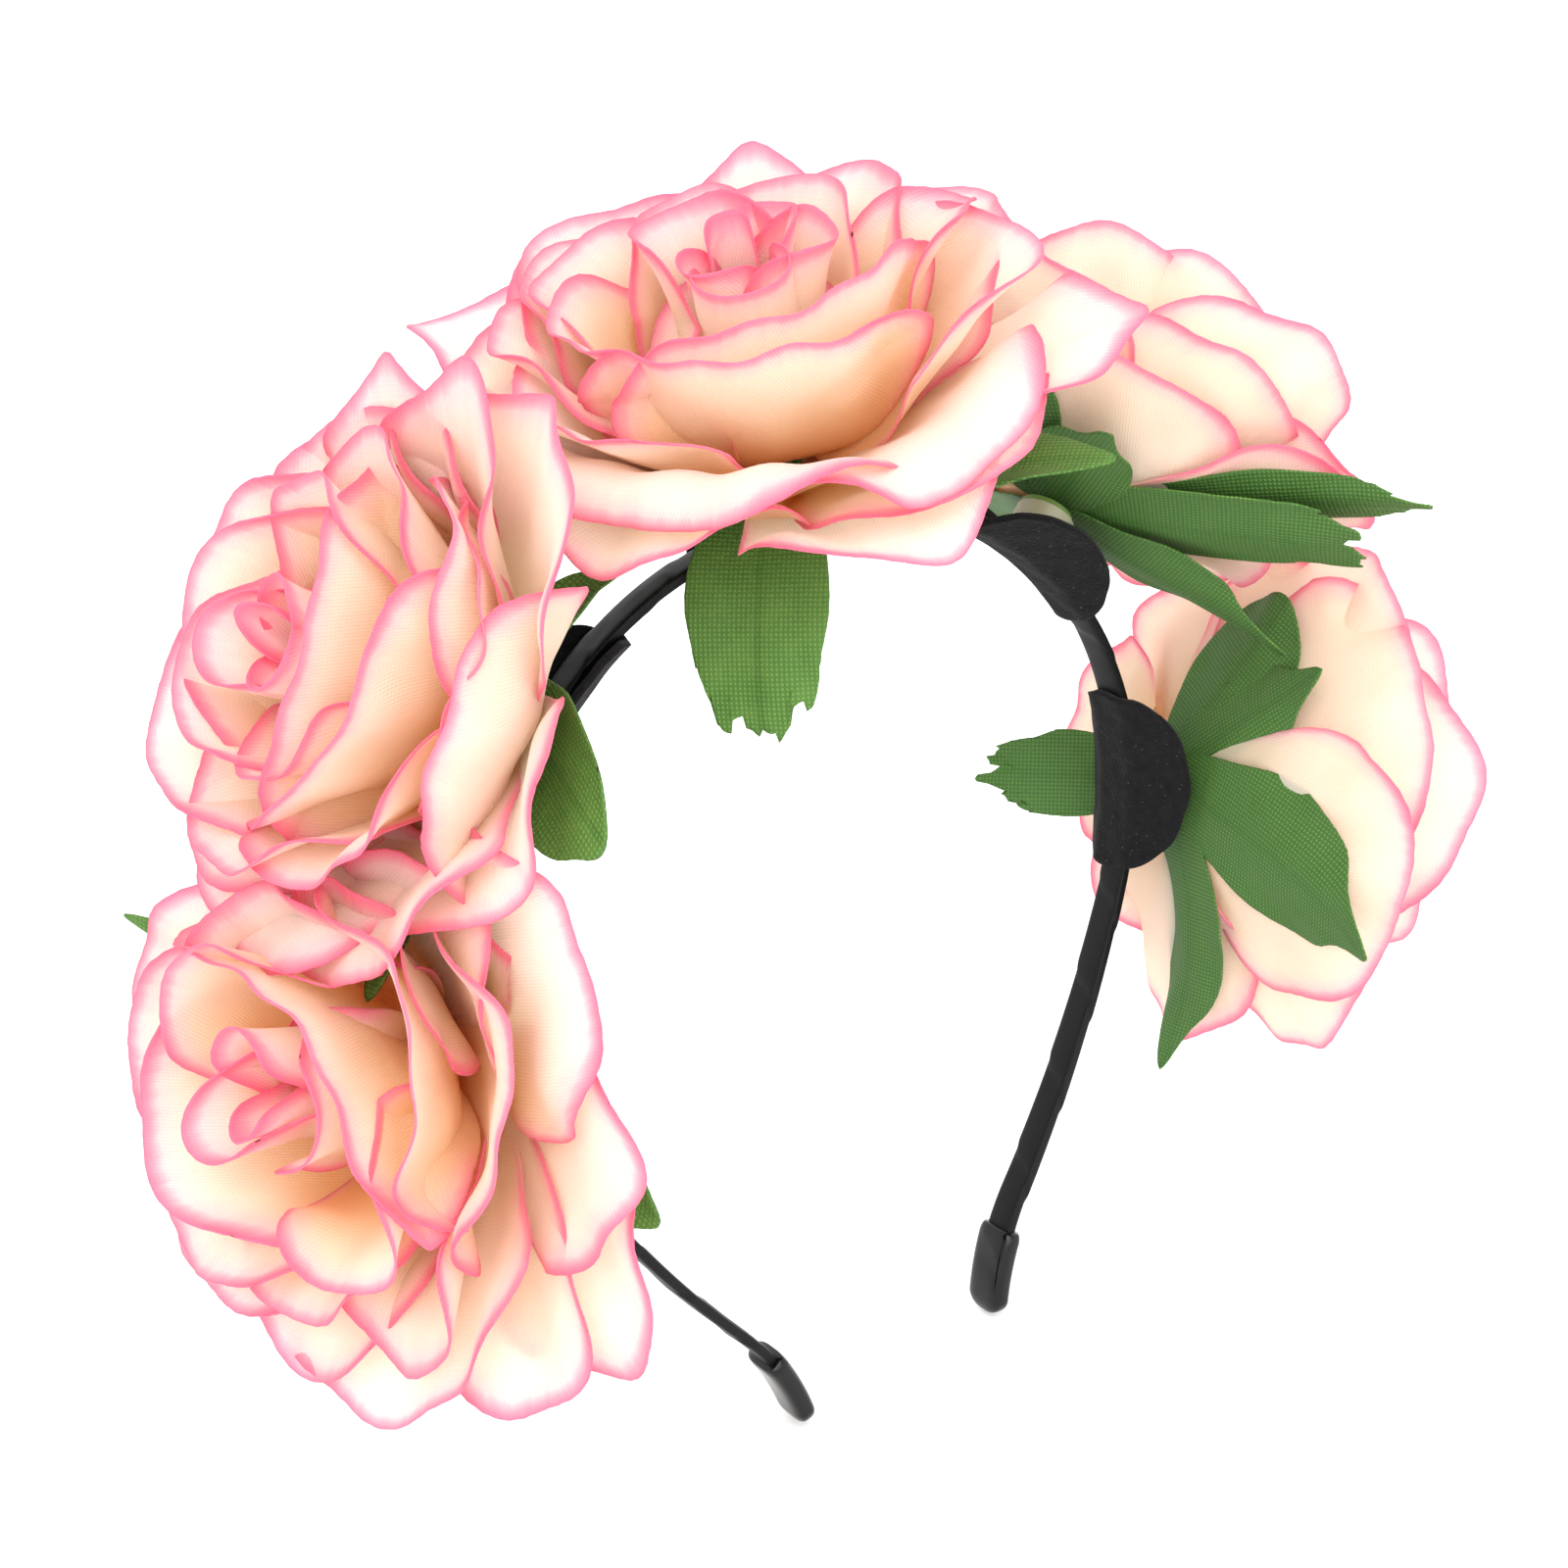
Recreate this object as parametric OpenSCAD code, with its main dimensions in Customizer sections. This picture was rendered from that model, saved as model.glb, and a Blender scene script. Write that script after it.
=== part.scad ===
// Flower crown: a wrapped spring headband with five fabric roses glued along it.
// The band lies in the X-Z plane with its width along Y. The origin is the middle of the head opening,
// +Z points up through the crown, and +X is the wearer's side where the fifth rose sits.

/* [Headband] */
// Height of the band's middle line at the crown, above the origin
crown_z = 60; // [50:1:70]
// Width of the bare spring strip
strip_w = 4.6; // [3.5:0.1:8]
// Thickness of the bare spring strip
strip_t = 1.0; // [0.6:0.1:1.6]
// Thickness of the ribbon wrapped round the strip
ribbon_t = 0.4; // [0.2:0.05:0.8]
// Lengths of the band's arcs, from the crown down to a tip
arc_len = [20, 100, 58, 24];
// Radii of the same arcs; a negative radius turns outwards
arc_rad = [79, 58.5, 230, -51];
// Length along the band from the crown to where an arm starts to flex
flex_s = 120; // [119:1:130]
// Gap between the crown's strip and an arm's strip
flex_gap = 0.4; // [0.3:0.1:0.8]

/* [End caps] */
// Length of a cap
cap_len = 16; // [10:1:22]
// Width of a cap
cap_w = 8.4; // [6.4:0.1:9]
// Thickness of a cap
cap_t = 4.4; // [3:0.1:5]
// Thickness of a cap's closed end
cap_wall = 3; // [1:0.5:5]

/* [Felt pads] */
// Diameter of a felt disc before it is folded over the strip
felt_d = 34; // [28:1:36]
// Thickness of the felt
felt_t = 1.2; // [0.8:0.1:2]
// Length of a folded wing beyond the strip's edge
felt_wing = 11; // [6:0.5:12]
// Angle that a wing folds back towards its rose
felt_fold = 38; // [25:1:45]

/* [Roses] */
// Length along the band from one rose to the next
rose_step = 50.5; // [48:0.5:52]
// Direction that each rose faces in the band's plane, in degrees up from +X
rose_aim = [161, 148, 104, 40, 343];
// Tilt of each rose out of the band's plane, towards +Y
rose_nod = [-17, -5, -14, 10, -12];
// Direction of each line that parts two neighbouring roses, with the two outer limits
rose_edge = [250, 154, 127, 72, 10, -70];
// Length along the band of the foot of each of those lines
rose_edge_s = [-140, -76, -25, 25, 76, 140];
// Widest radius of the outer petals
petal_r = 45; // [38:1:48]
// Height of a rose above the band
rose_h = 50; // [40:1:52]
// Gap between the calyx and the band
calyx_lift = 7.5; // [7:0.5:9]
// Radius that the calyx lobes reach
calyx_r = 38; // [30:1:42]
// Thickness of a fabric layer's stand-in
cloth_t = 1.4; // [1:0.1:2]
// Way that a lobe of each calyx folds back towards the head, in degrees round its rose; -1 for none
fold_turn = [-1, -1, 218, -1, 90];
// Length of a lobe that folds back
fold_len = 31; // [20:1:34]

/* [Hidden] */

fit_gap = 0.03;
part_gap = 0.3;
wrap_w = strip_w + 2 * (fit_gap + ribbon_t);
wrap_t = strip_t + 2 * (fit_gap + ribbon_t);
arc_step = 2;
cap_start = arc_len[0] + arc_len[1] + arc_len[2] + arc_len[3] - cap_len + cap_wall;
tip_s = arc_len[0] + arc_len[1] + arc_len[2] + arc_len[3];
degree = 180 / PI;
far = 160;
stem_r = 2.2;
leaf_t = 0.8;
fold_r = 21;
fold_w = 16;
lobe_turn = [20, 40, 2, 80, 18];
hole_r = stem_r + part_gap;

// Position and heading at arc length s from the crown, walked arc by arc: [x, z, turn].
function walk(s, i = 0, x = 0, z = 0, a = 0) =
    let (l = (i == 3) ? s : min(s, arc_len[i]),
         b = a + l / arc_rad[i] * degree,
         nx = x + arc_rad[i] * (sin(b) - sin(a)),
         nz = z + arc_rad[i] * (cos(b) - cos(a)))
    (s <= arc_len[i] || i == 3) ? [nx, nz, b] : walk(s - l, i + 1, nx, nz, b);

// The same on either side of the crown: [x, z, angle of the outward normal].
function band_at(s) =
    let (w = walk(abs(s)), side = (s < 0) ? -1 : 1)
    [side * w[0], crown_z + w[1], 90 - side * w[2]];

// A point at height h outside the band's middle line.
function off_band(s, h) =
    let (p = band_at(s))
    [p[0] + h * cos(p[2]), p[1] + h * sin(p[2])];

function seat_s(i) = (i - 3) * rose_step;

// A stretch of band between two arc lengths, t thick and w wide.
module stretch(s0, s1, t, w) {
    n = ceil((s1 - s0) / arc_step);
    outer = [for (k = [0 : n]) off_band(s0 + (s1 - s0) * k / n, t / 2)];
    inner = [for (k = [n : -1 : 0]) off_band(s0 + (s1 - s0) * k / n, -t / 2)];
    rotate([90, 0, 0])
        linear_extrude(height = w, center = true)
            polygon(concat(outer, inner));
}

module spring(s0, s1) {
    color("silver")
        stretch(s0, s1, strip_t, strip_w);
}

// The ribbon is one closed sleeve round the strip.
module ribbon(s0, s1) {
    color([0.06, 0.06, 0.07])
        difference() {
            stretch(s0, s1, wrap_t, wrap_w);
            stretch(s0 - 1, s1 + 1, strip_t + 2 * fit_gap, strip_w + 2 * fit_gap);
        }
}

module spring_crown() {
    spring(-flex_s + flex_gap / 2, flex_s - flex_gap / 2);
}

module spring_left_arm() {
    spring(-tip_s + cap_wall + 0.5, -flex_s - flex_gap / 2);
}

module spring_right_arm() {
    spring(flex_s + flex_gap / 2, tip_s - cap_wall - 0.5);
}

module ribbon_crown() {
    ribbon(-flex_s + flex_gap / 2, flex_s - flex_gap / 2);
}

module ribbon_left_arm() {
    ribbon(-tip_s + cap_wall + 0.5, -flex_s - flex_gap / 2);
}

module ribbon_right_arm() {
    ribbon(flex_s + flex_gap / 2, tip_s - cap_wall - 0.5);
}

// A dipped cap: a rounded sleeve that follows the tip, closed at its end.
module end_cap(side) {
    s0 = (side < 0) ? -tip_s : tip_s - cap_len;
    pocket0 = (side < 0) ? -tip_s + cap_wall : tip_s - cap_len - 1;
    tip = band_at(side * (tip_s - cap_w / 2));
    top = band_at(side * (tip_s - cap_len / 2));
    color([0.04, 0.04, 0.04])
        difference() {
            intersection() {
                stretch(s0, s0 + cap_len, cap_t, cap_w);
                // Seen along the thickness, the closed end is a half circle.
                union() {
                    translate([tip[0], 0, tip[1]])
                        rotate([0, 90 - tip[2], 0])
                            cylinder(r = cap_w / 2, h = 3 * cap_t, center = true, $fn = 48);
                    translate([top[0], 0, top[1]])
                        rotate([0, 90 - top[2], 0])
                            cube([cap_len - cap_w + 2, cap_w + 2, 4 * cap_t], center = true);
                }
            }
            stretch(pocket0, pocket0 + cap_len - cap_wall + 1, wrap_t + 2 * fit_gap, wrap_w + 2 * fit_gap);
        }
}

module end_cap_left() {
    end_cap(-1);
}

module end_cap_right() {
    end_cap(1);
}

// Moves children from a seat's own frame, +Z along the band's normal, to the band's outer face.
module at_seat(i) {
    p = off_band(seat_s(i), wrap_t / 2);
    translate([p[0], 0, p[1]])
        rotate([0, 90 - band_at(seat_s(i))[2], 0])
            children();
}

// Moves children from a rose's own frame, +Z along the way it faces, to its seat.
module at_rose(i) {
    p = off_band(seat_s(i), wrap_t / 2);
    translate([p[0], 0, p[1]])
        rotate([0, 90 - rose_aim[i - 1], 0])
            rotate([-rose_nod[i - 1], 0, 0])
                children();
}

// A felt disc laid on the strip's inner face, its two wings folded back round the strip.
module felt_solid(i, grow) {
    bend_r = (i == 3) ? arc_rad[0] : arc_rad[1];
    inside = bend_r - wrap_t / 2 - fit_gap;
    edge = wrap_w / 2 + 0.2;
    run = felt_wing * cos(felt_fold);
    rise = felt_wing * sin(felt_fold);
    lean = felt_t * tan(felt_fold / 2);
    wing_out = [inside + rise, edge + run];
    wing_in = [inside + rise - felt_t * cos(felt_fold), edge + run + felt_t * sin(felt_fold)];
    half = [[inside, edge], wing_out, wing_in, [inside - felt_t, edge + lean]];
    mirrored = [for (k = [3 : -1 : 0]) [half[k][0], -half[k][1]]];
    sweep = felt_d / inside * degree;
    intersection() {
        translate([0, 0, -bend_r - wrap_t / 2])
            rotate([90, 0, 0])
                rotate([0, 0, 90 - sweep / 2])
                    rotate_extrude(angle = sweep, $fn = 180)
                        offset_outline(concat(half, mirrored), grow);
        union() {
            for (side = [-1, 1])
                rotate([side * felt_fold, 0, 0])
                    cylinder(r = felt_d / 2 + grow, h = 60, center = true, $fn = 64);
        }
    }
}

// Grows an outline by moving it a little each way along its thickness.
module offset_outline(points, grow) {
    for (shift = (grow > 0) ? [-grow, grow, 0] : [0])
        translate([shift, 0])
            polygon(points);
}

module felt_pad(i) {
    color([0.09, 0.09, 0.1])
        at_seat(i)
            felt_solid(i, 0);
}

// Hot glue that fills the space between the band, the felt and the stem's foot.
module glue(i) {
    color([0.85, 0.85, 0.8])
        difference() {
            at_seat(i)
                translate([0, 0, fit_gap])
                    cylinder(r = 5, h = calyx_lift, $fn = 40);
            at_rose(i)
                translate([-20, -20, calyx_lift - 1.9])
                    cube([40, 40, 30]);
            at_seat(i)
                felt_solid(i, 0.2);
        }
}

// The moulded stem that threads the layers together, with a round foot under the calyx.
module stem(i) {
    color([0.35, 0.45, 0.2])
        at_rose(i) {
            translate([0, 0, calyx_lift - 1.8])
                cylinder(r = 4.5, h = 1.5, $fn = 40);
            translate([0, 0, calyx_lift - 1])
                cylinder(r = stem_r, h = 9, $fn = 32);
        }
}

// The cell of space that belongs to one rose, so that neighbours press together without overlap.
module cell(i) {
    feet = [for (k = [i - 1, i]) off_band(rose_edge_s[k], 1)];
    dirs = [for (k = [i - 1, i]) [cos(rose_edge[k]), sin(rose_edge[k])]];
    low = feet[0] + part_gap / 2 * [dirs[0][1], -dirs[0][0]];
    high = feet[1] - part_gap / 2 * [dirs[1][1], -dirs[1][0]];
    rotate([90, 0, 0])
        linear_extrude(height = 2 * far, center = true)
            polygon([low, low + far * dirs[0], high + far * dirs[1], high]);
}

// A layer of petals as a thin bowl, from its middle hole out to its rim.
module bowl(points, t, petals, notch_r, turn) {
    top = [for (k = [len(points) - 1 : -1 : 0]) [points[k][0], points[k][1] + t]];
    difference() {
        rotate_extrude($fn = 72)
            polygon(concat(points, top));
        for (k = [0 : petals - 1])
            rotate([0, 0, turn + 360 / petals * k])
                linear_extrude(height = 80)
                    polygon([[notch_r, 0], [notch_r + 40, 9], [notch_r + 40, -9]]);
    }
}

// One side of a lobed star, as an outline seen along the rose.
module star(lobes, r_out, r_in, turn) {
    step = 360 / lobes;
    linear_extrude(height = 60)
        polygon([for (k = [0 : lobes - 1], m = [0 : 3])
            let (a = turn + step * (k + [0, 0.22, 0.5, 0.78][m]), r = [r_out, r_out * 0.72, r_in, r_out * 0.72][m])
            [r * cos(a), r * sin(a)]]);
}

calyx_rise = [[hole_r, 0], [6, 0], [24, 10], [calyx_r, 17.5]];
outer_rise = [[hole_r, 0], [6, 0], [26, 12.9], [37, 22.5], [petal_r, 26]];
middle_rise = [[hole_r, 0], [7, 0], [20, 14], [29, 28], [34, 31.5]];
inner_rise = [[hole_r, 0], [6, 0], [13, 13], [18, 28]];

function lifted(points, h) = [for (p = points) [p[0], p[1] + h]];

// A lobe that leaves the calyx cone at radius fold_r and folds back towards the head.
module folded_lobe(turn) {
    rotate([0, 0, turn])
        translate([fold_r, -fold_w / 2, calyx_lift + leaf_t + 0.55 * (fold_r - 6) - fold_len])
            cube([leaf_t, fold_w, fold_len]);
}

module calyx(i) {
    color([0.2, 0.38, 0.16])
        intersection() {
            cell(i);
            at_rose(i)
                union() {
                    intersection() {
                        bowl(lifted(calyx_rise, calyx_lift), leaf_t, 5, far, 0);
                        star(5, calyx_r + 2, 13, lobe_turn[i - 1]);
                    }
                    if (fold_turn[i - 1] >= 0)
                        folded_lobe(fold_turn[i - 1]);
                }
        }
}

module outer_petals(i) {
    color([0.98, 0.84, 0.72])
        intersection() {
            cell(i);
            at_rose(i)
                bowl(lifted(outer_rise, calyx_lift + 1.6), cloth_t, 5, petal_r - 12, 17 * i);
        }
}

module middle_petals(i) {
    color([0.99, 0.8, 0.68])
        intersection() {
            cell(i);
            at_rose(i)
                bowl(lifted(middle_rise, calyx_lift + 4), cloth_t, 5, 22, 17 * i + 36);
        }
}

module inner_petals(i) {
    color([0.98, 0.74, 0.66])
        intersection() {
            cell(i);
            at_rose(i)
                bowl(lifted(inner_rise, calyx_lift + 6.4), cloth_t, 4, 12, 17 * i + 10);
        }
}

module bud(i) {
    h0 = calyx_lift + 8.4;
    color([0.95, 0.55, 0.6])
        at_rose(i)
            rotate_extrude($fn = 60)
                polygon([[0, h0], [4, h0], [8, h0 + 8], [9.5, h0 + 18],
                    [8, rose_h - 4], [4, rose_h - 1], [0, rose_h]]);
}

spring_crown();
spring_left_arm();
spring_right_arm();
ribbon_crown();
ribbon_left_arm();
ribbon_right_arm();
end_cap_left();
end_cap_right();
felt_pad(1);  // felt_pad_1
felt_pad(2);  // felt_pad_2
felt_pad(3);  // felt_pad_3
felt_pad(4);  // felt_pad_4
felt_pad(5);  // felt_pad_5
glue(1);  // glue_1
glue(2);  // glue_2
glue(3);  // glue_3
glue(4);  // glue_4
glue(5);  // glue_5
stem(1);  // stem_1
stem(2);  // stem_2
stem(3);  // stem_3
stem(4);  // stem_4
stem(5);  // stem_5
calyx(1);  // calyx_1
calyx(2);  // calyx_2
calyx(3);  // calyx_3
calyx(4);  // calyx_4
calyx(5);  // calyx_5
outer_petals(1);  // outer_petals_1
outer_petals(2);  // outer_petals_2
outer_petals(3);  // outer_petals_3
outer_petals(4);  // outer_petals_4
outer_petals(5);  // outer_petals_5
middle_petals(1);  // middle_petals_1
middle_petals(2);  // middle_petals_2
middle_petals(3);  // middle_petals_3
middle_petals(4);  // middle_petals_4
middle_petals(5);  // middle_petals_5
inner_petals(1);  // inner_petals_1
inner_petals(2);  // inner_petals_2
inner_petals(3);  // inner_petals_3
inner_petals(4);  // inner_petals_4
inner_petals(5);  // inner_petals_5
bud(1);  // bud_1
bud(2);  // bud_2
bud(3);  // bud_3
bud(4);  // bud_4
bud(5);  // bud_5
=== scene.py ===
"""A flower crown: five cloth roses on a ribbon-wrapped spring headband.

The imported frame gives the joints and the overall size. This script replaces the plain soft solids with cloth
surfaces, each worked out with numpy as a function of two parameters on a grid, and dresses every piece.
Lengths inside the classes are in millimetres; meshes are written in metres.
"""

import logging
import math
from dataclasses import dataclass, replace
from enum import Enum

import bpy
import numpy as np
from mathutils import Matrix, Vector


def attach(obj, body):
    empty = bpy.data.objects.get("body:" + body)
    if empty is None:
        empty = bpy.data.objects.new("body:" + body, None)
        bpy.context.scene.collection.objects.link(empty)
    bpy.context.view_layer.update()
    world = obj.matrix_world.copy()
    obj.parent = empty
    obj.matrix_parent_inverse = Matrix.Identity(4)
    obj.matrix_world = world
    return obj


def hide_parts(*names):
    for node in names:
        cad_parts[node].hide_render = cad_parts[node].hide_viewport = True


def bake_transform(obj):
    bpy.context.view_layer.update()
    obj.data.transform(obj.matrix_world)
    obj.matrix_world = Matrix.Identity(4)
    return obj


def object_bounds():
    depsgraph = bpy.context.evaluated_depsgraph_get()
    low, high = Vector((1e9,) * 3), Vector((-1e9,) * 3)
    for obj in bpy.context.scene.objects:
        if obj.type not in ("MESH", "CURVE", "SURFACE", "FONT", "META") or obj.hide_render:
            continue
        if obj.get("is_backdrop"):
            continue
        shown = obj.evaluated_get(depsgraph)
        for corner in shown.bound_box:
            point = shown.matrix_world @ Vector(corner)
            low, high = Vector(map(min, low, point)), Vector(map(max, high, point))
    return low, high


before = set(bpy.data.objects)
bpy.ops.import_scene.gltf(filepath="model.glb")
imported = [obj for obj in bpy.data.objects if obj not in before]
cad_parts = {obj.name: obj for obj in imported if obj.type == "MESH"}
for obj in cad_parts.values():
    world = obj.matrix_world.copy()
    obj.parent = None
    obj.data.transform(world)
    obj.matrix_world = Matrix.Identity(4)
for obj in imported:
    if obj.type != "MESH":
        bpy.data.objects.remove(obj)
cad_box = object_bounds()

log = logging.getLogger("flower_crown")
MM = 0.001
DEG = math.pi / 180
FLAT_MAP_MM = 100  # mm of cloth in one unit of the flat map
RIM_MM = 20  # mm from the cut edge in one unit of the rim dye
EDGE_INSET = 0.985  # keeps the corners of the square grid off the disc's edge, where cells would close up
ROSES = range(1, 6)
SEAT_STEP = 50.5  # mm along the band from one rose to the next


class Slot(Enum):
    """Material slots of the record."""

    RIBBON = "satin_ribbon"
    RUBBER = "cap_rubber"
    FELT = "black_felt"
    GLUE = "hot_glue"
    STEM = "stem_plastic"
    LEAF = "leaf_cloth"
    PETAL = "petal_cloth"
    STEEL = "spring_steel"


# ---------------------------------------------------------------- meshes


@dataclass
class Patch:
    """Vertices, quads and per-vertex data of a closed piece of surface.

    points: n by 3 places in mm. quads: m by 4 indices. flat: n by 2 flat cloth places in mm.
    print_: n by 5 numbers that the dyes read: rim distance, reach, side, tone and warmth.
    """

    points: np.ndarray
    quads: np.ndarray
    flat: np.ndarray
    print_: np.ndarray


def join_patches(patches: list[Patch]) -> Patch:
    """Joins patches into one.

    Args:
        patches: The patches, in order.

    Returns:
        One patch with all their vertices and quads.
    """
    starts = np.cumsum([0] + [len(p.points) for p in patches[:-1]])
    return Patch(
        np.concatenate([p.points for p in patches]),
        np.concatenate([p.quads + s for p, s in zip(patches, starts)]),
        np.concatenate([p.flat for p in patches]),
        np.concatenate([p.print_ for p in patches]),
    )


def grid_quads(rows: int, cols: int, closed: bool = False) -> np.ndarray:
    """Quads of a grid of rows by cols vertices, row by row.

    Args:
        rows: Vertices along the first parameter.
        cols: Vertices along the second parameter.
        closed: Whether the last column joins the first.

    Returns:
        An array of four vertex indices a quad.
    """
    i = np.arange(rows - 1)[:, None]
    j = np.arange(cols if closed else cols - 1)[None, :]
    k = (j + 1) % cols
    return np.stack([i * cols + j, i * cols + k, (i + 1) * cols + k, (i + 1) * cols + j], -1).reshape(-1, 4)


def grid_normals(p: np.ndarray) -> np.ndarray:
    """Unit normals of a grid of points, from the cross product of its two gradients."""
    n = np.cross(np.gradient(p, axis=0), np.gradient(p, axis=1))
    return n / np.maximum(np.linalg.norm(n, axis=-1, keepdims=True), 1e-9)


def border(rows: int, cols: int) -> np.ndarray:
    """Indices of a grid's border vertices, once round."""
    i = np.arange(rows * cols).reshape(rows, cols)
    return np.concatenate([i[0, :-1], i[:-1, -1], i[-1, :0:-1], i[:0:-1, 0]])


def disc_grid(side: np.ndarray) -> tuple[np.ndarray, np.ndarray]:
    """The square (a, b) on the unit disc: a times the root of one less half b squared, and the same for b.

    Args:
        side: Places along a side of the square, from -1 to 1.

    Returns:
        x and y of the grid's points on the disc.
    """
    a, b = np.meshgrid(side, side)
    return a * np.sqrt(1 - b * b / 2), b * np.sqrt(1 - a * a / 2)


def cloth_shell(p: np.ndarray, flat: np.ndarray, print_: np.ndarray, thick: float) -> Patch:
    """Gives a grid of points a thickness: a front, a back and a rim strip that joins them.

    Args:
        p: rows by cols by 3 points of the middle surface.
        flat: rows by cols by 2 flat cloth places.
        print_: rows by cols by 5 dye numbers; the third is overwritten with 1 on the front and 0 on the back.
        thick: Thickness in mm.

    Returns:
        The closed patch.
    """
    rows, cols = p.shape[:2]
    n = grid_normals(p) * thick / 2
    count = rows * cols
    front = grid_quads(rows, cols)
    ring = border(rows, cols)
    following = np.roll(ring, -1)
    rim = np.stack([ring, following, following + count, ring + count], -1)
    sides = [print_.copy().reshape(-1, 5), print_.copy().reshape(-1, 5)]
    sides[0][:, 2] = 1.0
    sides[1][:, 2] = 0.0
    return Patch(
        np.concatenate([(p + n).reshape(-1, 3), (p - n).reshape(-1, 3)]),
        np.concatenate([front[:, ::-1], front + count, rim]),
        np.concatenate([flat.reshape(-1, 2)] * 2),
        np.concatenate(sides),
    )


def make_piece(name: str, patch: Patch) -> bpy.types.Object:
    """Writes a patch into a mesh object with its flat map and dye attribute.

    Args:
        name: The piece's name.
        patch: Its vertices and faces, in mm.

    Returns:
        The new object, at the origin.
    """
    mesh = bpy.data.meshes.new(name)
    quads = patch.quads.astype(np.int32)
    mesh.vertices.add(len(patch.points))
    mesh.loops.add(quads.size)
    mesh.polygons.add(len(quads))
    mesh.vertices.foreach_set("co", (patch.points * MM).astype(np.float32).ravel())
    mesh.loops.foreach_set("vertex_index", quads.ravel())
    mesh.polygons.foreach_set("loop_start", np.arange(0, quads.size, 4, dtype=np.int32))
    mesh.update(calc_edges=True)
    mesh.polygons.foreach_set("use_smooth", np.ones(len(quads), dtype=bool))
    uv = mesh.uv_layers.new(name="flat")
    uv.data.foreach_set("uv", (patch.flat[quads.ravel()] / FLAT_MAP_MM).astype(np.float32).ravel())
    dye = mesh.attributes.new("print", "FLOAT_COLOR", "POINT")
    dye.data.foreach_set("color", patch.print_[:, :4].astype(np.float32).ravel())
    warmth = mesh.attributes.new("warmth", "FLOAT", "POINT")
    warmth.data.foreach_set("value", patch.print_[:, 4].astype(np.float32))
    mesh.validate()
    piece = bpy.data.objects.new(name, mesh)
    bpy.context.scene.collection.objects.link(piece)
    return piece


# ---------------------------------------------------------------- materials


class Nodes:
    """A short way to write a material's node tree."""

    def __init__(self, name: str) -> None:
        """Starts a material with one Principled shader.

        Args:
            name: The material's name.
        """
        self.material = bpy.data.materials.new(name)
        self.material.use_nodes = True
        self.tree = self.material.node_tree
        self.shader = self.tree.nodes["Principled BSDF"]
        self.output = self.tree.nodes["Material Output"]

    def add(self, kind: str, inputs: dict | None = None, **props: object) -> bpy.types.Node:
        """Adds a node.

        Args:
            kind: The node's type after ShaderNode.
            inputs: Socket name or index to a value or an output socket.
            props: Attributes of the node itself.

        Returns:
            The node.
        """
        node = self.tree.nodes.new("ShaderNode" + kind)
        for key, value in props.items():
            setattr(node, key, value)
        for key, value in (inputs or {}).items():
            self.feed(node.inputs[key], value)
        return node

    def feed(self, socket: bpy.types.NodeSocket, value: object) -> None:
        """Links an output socket to a socket, or sets the socket's value."""
        if isinstance(value, bpy.types.NodeSocket):
            self.tree.links.new(value, socket)
        else:
            socket.default_value = value

    def settle(self, **values: float) -> None:
        """Sets the shader's own sockets, each named with an underscore for a space."""
        for name, value in values.items():
            self.shader.inputs[name.replace("_", " ")].default_value = value

    def maths(self, operation: str, a: object, b: object = 0.0, clamp: bool = False) -> bpy.types.NodeSocket:
        """One sum of two numbers, as an output socket."""
        return self.add("Math", {0: a, 1: b}, operation=operation, use_clamp=clamp).outputs[0]

    def line(self, value: object, slope: float, start: float) -> bpy.types.NodeSocket:
        """A straight line: start plus slope times the value."""
        return self.add("Math", {0: value, 1: slope, 2: start}, operation="MULTIPLY_ADD").outputs[0]

    def ramp(self, value: bpy.types.NodeSocket, low: float, high: float) -> bpy.types.NodeSocket:
        """A smooth step of value from 0 at low to 1 at high."""
        node = self.add(
            "MapRange", {"Value": value, "From Min": low, "From Max": high}, interpolation_type="SMOOTHSTEP"
        )
        return node.outputs[0]

    def mix(self, share: object, a: object, b: object, blend: str = "MIX") -> bpy.types.NodeSocket:
        """A mix of two colours."""
        node = self.add("Mix", data_type="RGBA", blend_type=blend)
        self.feed(node.inputs[0], share)
        self.feed(node.inputs[6], a)
        self.feed(node.inputs[7], b)
        return node.outputs[2]

    def noise(self, vector: bpy.types.NodeSocket, scale: float, detail: float = 3.0) -> bpy.types.NodeSocket:
        """Noise from 0 to 1 over a vector."""
        return self.add("TexNoise", {"Vector": vector, "Scale": scale, "Detail": detail}).outputs["Fac"]

    def ribs(self, along: bpy.types.NodeSocket, per_unit: float) -> bpy.types.NodeSocket:
        """Rounded ribs across a coordinate: half of one plus the sine of it."""
        turned = self.maths("SINE", self.maths("MULTIPLY", along, per_unit * 2 * math.pi))
        return self.line(turned, 0.5, 0.5)

    def bump(self, height: bpy.types.NodeSocket, strength: float, distance: float) -> bpy.types.NodeSocket:
        """A bump normal from a height."""
        node = self.add("Bump", {"Height": height, "Strength": strength, "Distance": distance})
        return node.outputs["Normal"]

    def cloth(
        self, colour: bpy.types.NodeSocket, normal: bpy.types.NodeSocket, glow: float
    ) -> bpy.types.Material:
        """Finishes a thin cloth: the shader, with a share of light passed through it.

        Args:
            colour: The colour on both counts.
            normal: The bumped normal.
            glow: Share of light that passes through.

        Returns:
            The finished material.
        """
        self.feed(self.shader.inputs["Base Color"], colour)
        self.feed(self.shader.inputs["Normal"], normal)
        through = self.add("BsdfTranslucent", {"Color": colour, "Normal": normal})
        both = self.add("MixShader", {0: glow, 1: self.shader.outputs[0], 2: through.outputs[0]})
        self.feed(self.output.inputs["Surface"], both.outputs[0])
        return self.material


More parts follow.
